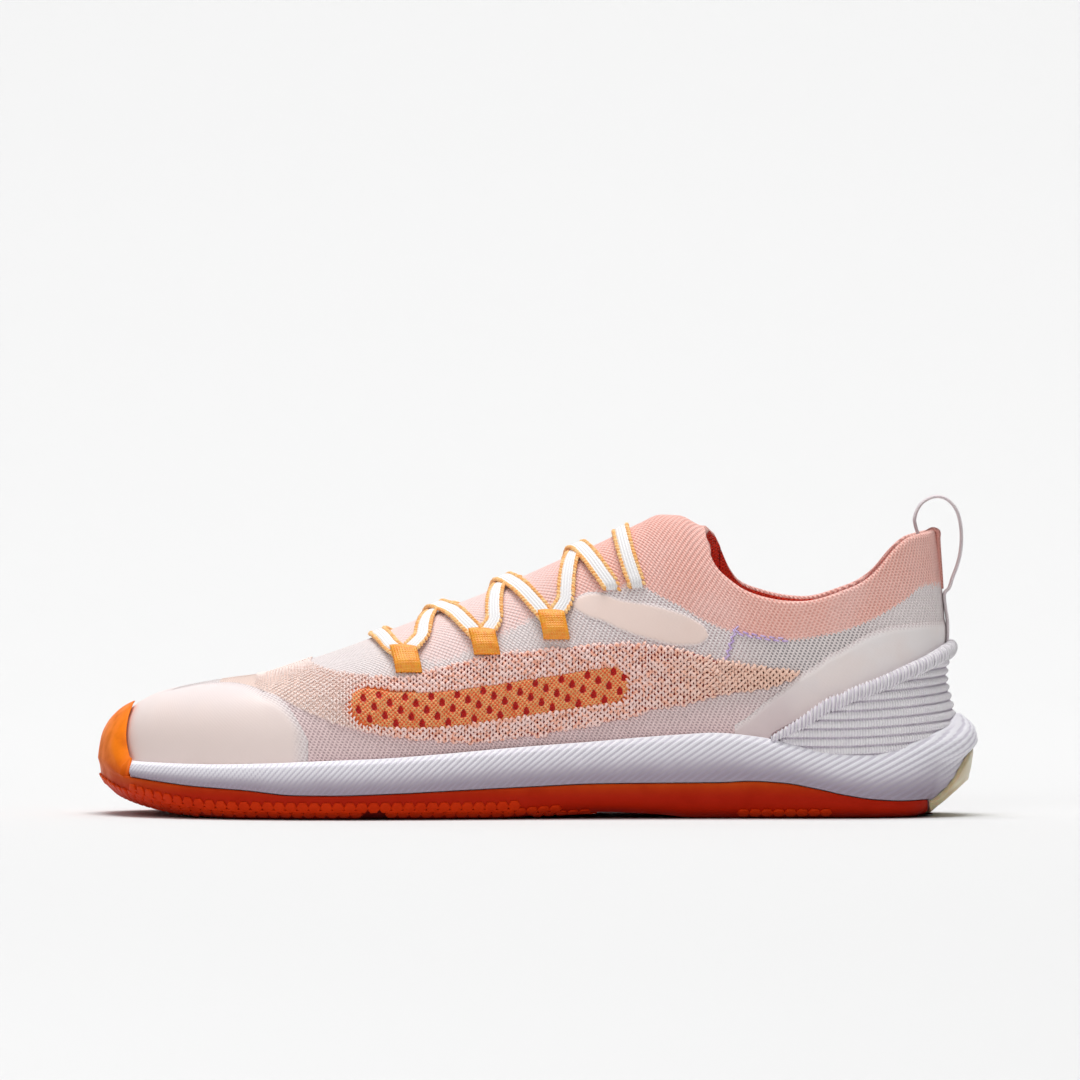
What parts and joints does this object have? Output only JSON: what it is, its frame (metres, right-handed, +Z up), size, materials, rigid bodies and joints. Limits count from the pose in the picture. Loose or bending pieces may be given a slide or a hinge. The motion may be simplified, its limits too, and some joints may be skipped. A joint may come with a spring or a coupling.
{
  "type": "barefoot training shoe",
  "caption": "Low knitted training shoe with a flat flexible sole, a rubber toe bumper, lace tabs over a closed instep and a pull loop at the heel.",
  "frame": {"origin": "middle of the bounding box in plan, on the floor under the sole", "axes": "+X from the toe to the heel, -Y to the outer side of the foot, +Z up"},
  "size_m": [0.2698, 0.0961, 0.0986],
  "materials": {
    "knit": "matte",
    "rubber": "satin",
    "foam": "matte",
    "lining": "matte",
    "clear_rubber": "gloss",
    "cuff_knit": "matte",
    "ribbon": "matte",
    "film": "satin",
    "tape": "satin",
    "lace": "matte"
  },
  "bodies": {
    "root": {"upper": "knit", "outsole": "rubber", "midsole": "foam", "insole": "lining", "heel_crash_pad": "clear_rubber", "heel_cuff": "cuff_knit", "heel_cuff_roll": "cuff_knit", "pull_loop": "ribbon", "toe_film": "film", "heel_film": "film", "eyestay_film_lateral": "film", "eyestay_film_medial": "film", "lace_tab_lateral_front": "tape", "lace_tab_lateral_middle": "tape", "lace_tab_lateral_back": "tape", "lace_tab_medial_front": "tape", "lace_tab_medial_middle": "tape", "lace_tab_medial_back": "tape", "lace_bar_front": "lace", "lace_cross_front": "lace", "lace_cross_middle": "lace", "lace_cross_back": "lace", "lace_bar_top": "lace"}
  },
  "joints": []
}
